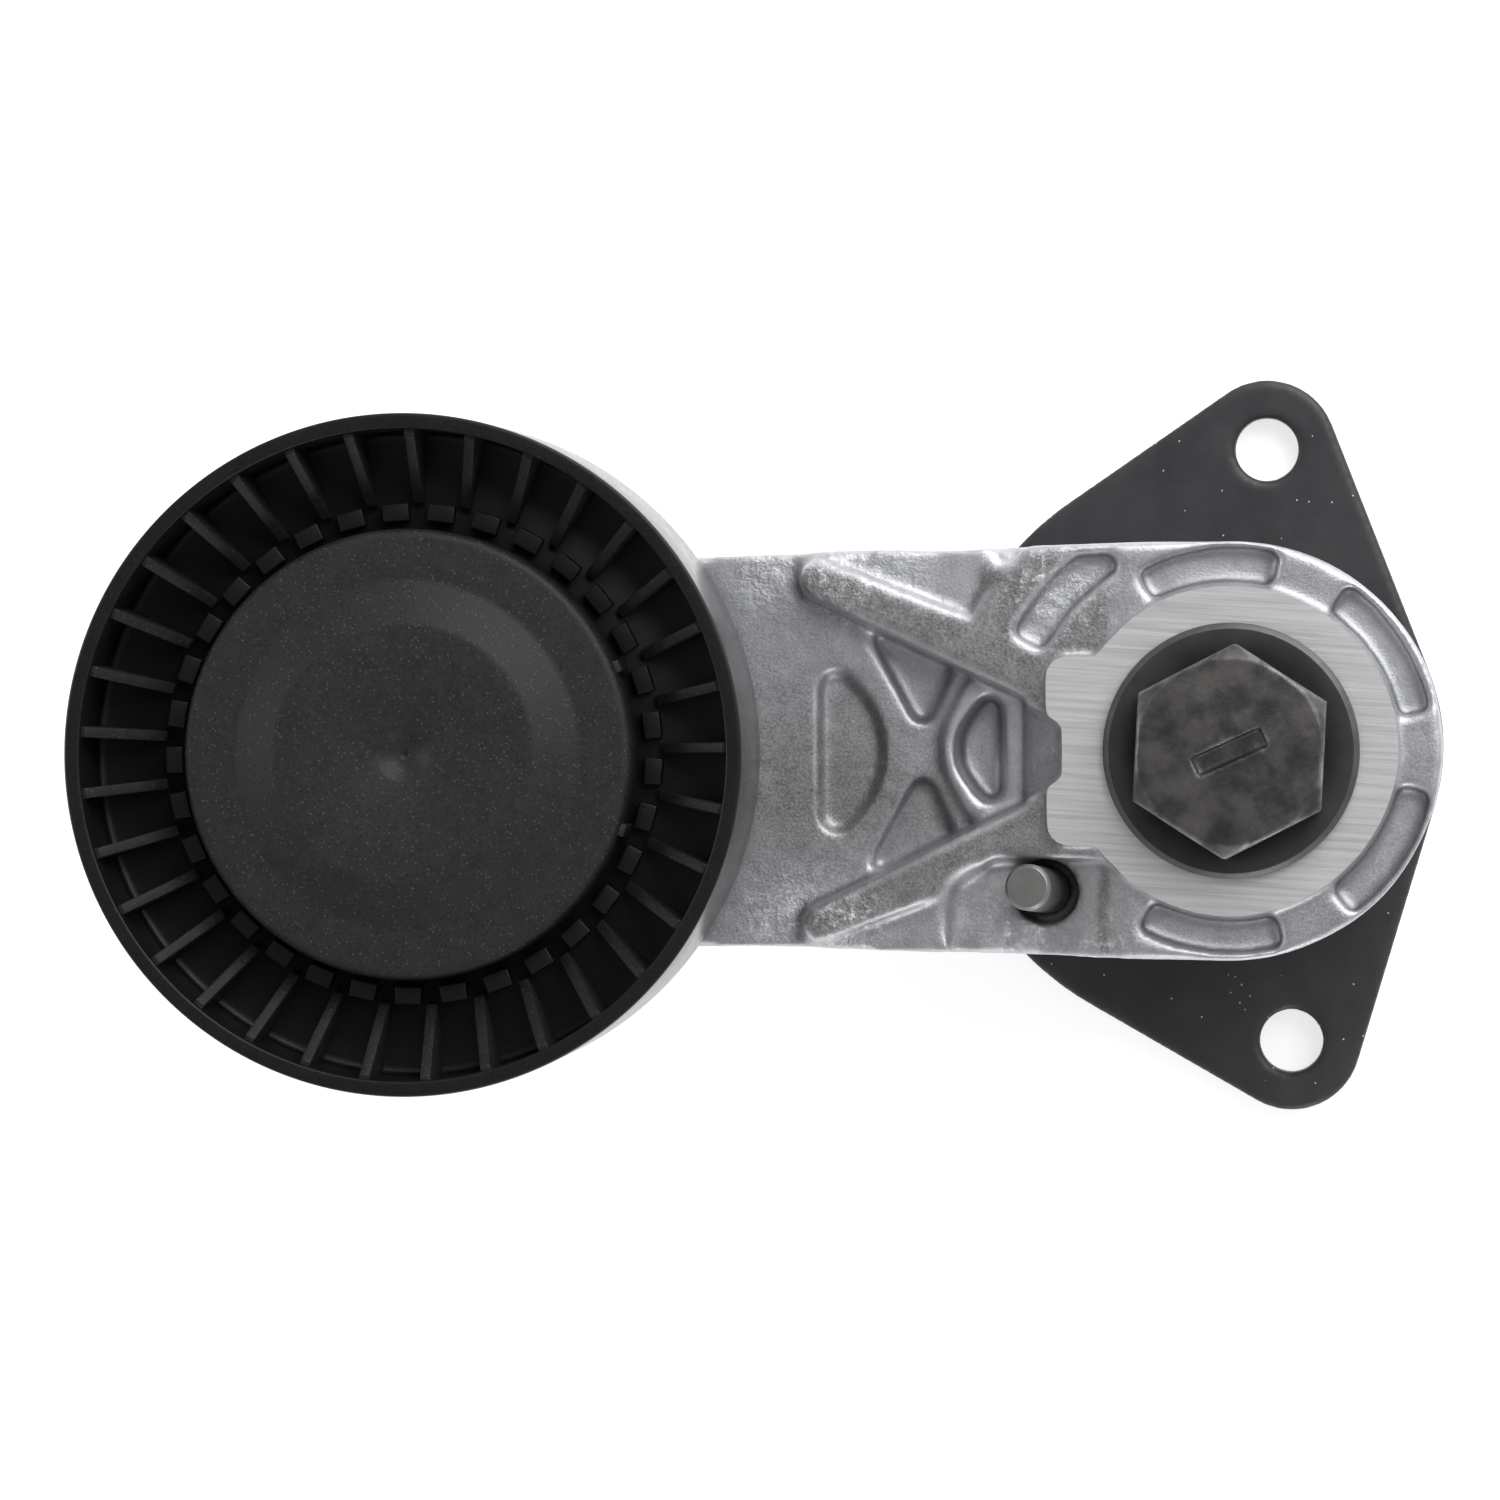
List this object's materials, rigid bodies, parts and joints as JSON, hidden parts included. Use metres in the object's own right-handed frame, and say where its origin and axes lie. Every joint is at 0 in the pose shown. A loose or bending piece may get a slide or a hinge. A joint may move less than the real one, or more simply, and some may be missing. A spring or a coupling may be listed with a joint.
{
  "type": "belt tensioner",
  "caption": "Automatic belt tensioner: a cast arm on a spring-loaded pivot, bolted by an eared plate, carries a smooth ribbed idler pulley under a dust cap.",
  "frame": {"origin": "on the arm's pivot axis, in the back face of the mounting plate", "axes": "+Z along the pivot, out of the mounting face towards the bolt head; -X from the pivot to the pulley at rest"},
  "size_m": [0.1758, 0.0982, 0.062],
  "materials": {
    "coated_plate": "black electrocoat on pressed steel, satin",
    "dark_steel": "phosphated hexagon bolt, worn at the corners",
    "dark_washer": "dark phosphated washer with a bright chamfer",
    "bright_steel": "zinc-plated steel",
    "pin_steel": "plain ground steel pin",
    "spring_steel": "oil-tempered spring wire",
    "bearing_steel": "ground bearing steel",
    "cast_aluminium": "as-cast and blasted, with a milled hub face",
    "bush_plastic": "self-lubricating bush polymer",
    "pulley_plastic": "black glass-filled nylon, smooth belt surface",
    "cap_plastic": "black nylon with a fine spark-eroded texture",
    "seal_rubber": "moulded seal"
  },
  "bodies": {
    "base": {"mounting_plate": "coated_plate", "threaded_boss": "dark_steel", "spring_case": "cast_aluminium", "case_rivets": "bright_steel", "pivot_sleeve": "bright_steel", "pivot_bolt": "dark_steel", "retaining_washer": "dark_washer", "torsion_spring": "spring_steel"},
    "arm": {"arm_casting": "cast_aluminium", "front_bush": "bush_plastic", "rear_bush": "bush_plastic", "damper_band": "bush_plastic", "stop_pin": "pin_steel", "pulley_bolt": "dark_steel", "rear_shield": "bright_steel", "adapter_sleeve": "bright_steel", "bearing_inner_ring": "bearing_steel"},
    "pulley": {"pulley_wheel": "pulley_plastic", "bearing_outer_ring": "bearing_steel", "bearing_seal_front": "seal_rubber", "bearing_seal_back": "seal_rubber", "dust_cap": "cap_plastic"},
    "ball_cage": {"bearing_cage": "bright_steel", "bearing_balls": "bearing_steel"}
  },
  "joints": [
    {"name": "arm_swing", "type": "hinge", "parent": "base", "child": "arm", "pos_m": [0, 0, 0.026], "axis": [0, 0, 1], "range_deg": [0, 32], "stiffness_Nm_per_rad": 30, "springref_deg": -45.84, "deforming": ["torsion_spring"]},
    {"name": "pulley_spin", "type": "hinge", "parent": "arm", "child": "pulley", "pos_m": [-0.10475, 0, 0.0455], "axis": [0, 0, 1], "continuous": true},
    {"name": "cage_spin", "type": "hinge", "parent": "arm", "child": "ball_cage", "pos_m": [-0.10475, 0, 0.0455], "axis": [0, 0, 1], "continuous": true}
  ],
  "couplings": [
    {"joint": "cage_spin", "follows": "pulley_spin", "ratio": 0.6182}
  ]
}
